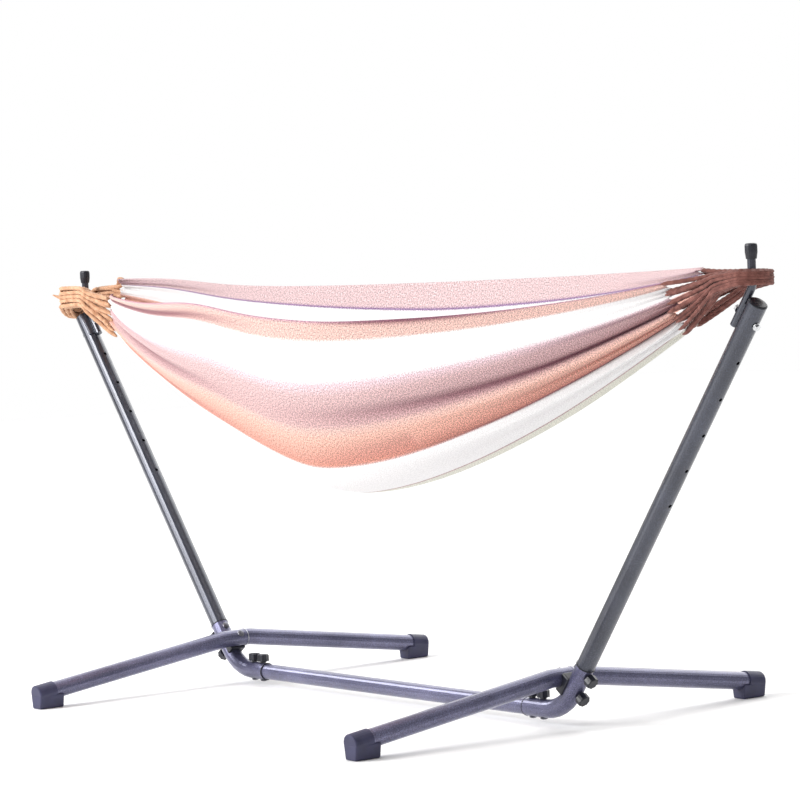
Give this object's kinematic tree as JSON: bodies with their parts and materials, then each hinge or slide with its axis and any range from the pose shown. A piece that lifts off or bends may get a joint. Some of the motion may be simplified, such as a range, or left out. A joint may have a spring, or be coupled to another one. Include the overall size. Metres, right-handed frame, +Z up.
{
  "type": "hammock with stand",
  "caption": "Striped cloth hammock on corded ends, hung from the hooks of a free-standing steel tube stand with splayed posts and cross legs.",
  "frame": {"origin": "on the ground, at the bottom centre of the bounding box. The stand's own middle plane lies 36.6 mm from it towards +X, because the slack loop's loose tail reaches further at the -X end.", "axes": "+X along the hammock, towards the end whose loop lies tight round its prong, +Y across it, +Z up"},
  "size_m": [2.7326, 1.213, 1.0665],
  "materials": {
    "frame_paint": "hammered slate-grey powder coat, semi-gloss",
    "foot_rubber": "matt navy-black moulded rubber",
    "black_plastic": "matt black moulded plastic",
    "zinc_steel": "bright zinc-plated steel",
    "striped_cotton": "woven cotton in long stripes of terracotta, mauve, white and cream",
    "cord": "twisted terracotta cotton cord"
  },
  "bodies": {
    "stand": {"base_tube": "frame_paint", "left_elbow": "frame_paint", "left_post": "frame_paint", "left_post_cap": "black_plastic", "left_leg_saddle": "black_plastic", "left_post_bolt": "zinc_steel", "left_leg_bolt": "zinc_steel", "left_base_bolt_outer": "zinc_steel", "left_base_bolt_inner": "zinc_steel", "left_hook": "frame_paint", "left_hook_tip": "black_plastic", "left_hook_bolt": "zinc_steel", "left_hook_nut": "zinc_steel", "left_leg_front": "frame_paint", "left_leg_rear": "frame_paint", "left_foot_cap_rear": "foot_rubber", "left_foot_cap_front": "foot_rubber", "right_elbow": "frame_paint", "right_post": "frame_paint", "right_post_cap": "black_plastic", "right_leg_saddle": "black_plastic", "right_post_bolt": "zinc_steel", "right_leg_bolt": "zinc_steel", "right_base_bolt_outer": "zinc_steel", "right_base_bolt_inner": "zinc_steel", "right_hook": "frame_paint", "right_hook_tip": "black_plastic", "right_hook_bolt": "zinc_steel", "right_hook_nut": "zinc_steel", "right_leg_front": "frame_paint", "right_leg_rear": "frame_paint", "right_foot_cap_rear": "foot_rubber", "right_foot_cap_front": "foot_rubber"},
    "hammock": {"hammock_bed": "striped_cotton", "left_clew": "cord", "right_clew": "cord"},
    "left_post_knob": {"left_post_knob": "black_plastic"},
    "left_leg_knob": {"left_leg_knob": "black_plastic"},
    "left_base_knob_outer": {"left_base_knob_outer": "black_plastic"},
    "left_base_knob_inner": {"left_base_knob_inner": "black_plastic"},
    "right_post_knob": {"right_post_knob": "black_plastic"},
    "right_leg_knob": {"right_leg_knob": "black_plastic"},
    "right_base_knob_outer": {"right_base_knob_outer": "black_plastic"},
    "right_base_knob_inner": {"right_base_knob_inner": "black_plastic"}
  },
  "joints": [
    {"name": "hammock_swing", "type": "hinge", "parent": "stand", "child": "hammock", "pos_m": [0.03665, 0, 0.99547], "axis": [1, 0, 0], "range_deg": [-25, 25]},
    {"name": "left_post_knob_turn", "type": "hinge", "parent": "stand", "child": "left_post_knob", "pos_m": [-0.68921, 0, 0.11522], "axis": [-0.8049, 0, -0.5934], "continuous": true},
    {"name": "left_leg_knob_turn", "type": "hinge", "parent": "stand", "child": "left_leg_knob", "pos_m": [-0.65805, 0, 0.07296], "axis": [-0.8049, 0, -0.5934], "continuous": true},
    {"name": "left_base_knob_outer_turn", "type": "hinge", "parent": "stand", "child": "left_base_knob_outer", "pos_m": [-0.53134, 0, 0.0565], "axis": [0, 0, 1], "continuous": true},
    {"name": "left_base_knob_inner_turn", "type": "hinge", "parent": "stand", "child": "left_base_knob_inner", "pos_m": [-0.49334, 0, 0.0565], "axis": [0, 0, 1], "continuous": true},
    {"name": "right_post_knob_turn", "type": "hinge", "parent": "stand", "child": "right_post_knob", "pos_m": [0.7625, 0, 0.11522], "axis": [0.8049, 0, -0.5934], "continuous": true},
    {"name": "right_leg_knob_turn", "type": "hinge", "parent": "stand", "child": "right_leg_knob", "pos_m": [0.73135, 0, 0.07296], "axis": [0.8049, 0, -0.5934], "continuous": true},
    {"name": "right_base_knob_outer_turn", "type": "hinge", "parent": "stand", "child": "right_base_knob_outer", "pos_m": [0.60463, 0, 0.0565], "axis": [0, 0, 1], "continuous": true},
    {"name": "right_base_knob_inner_turn", "type": "hinge", "parent": "stand", "child": "right_base_knob_inner", "pos_m": [0.56663, 0, 0.0565], "axis": [0, 0, 1], "continuous": true}
  ]
}
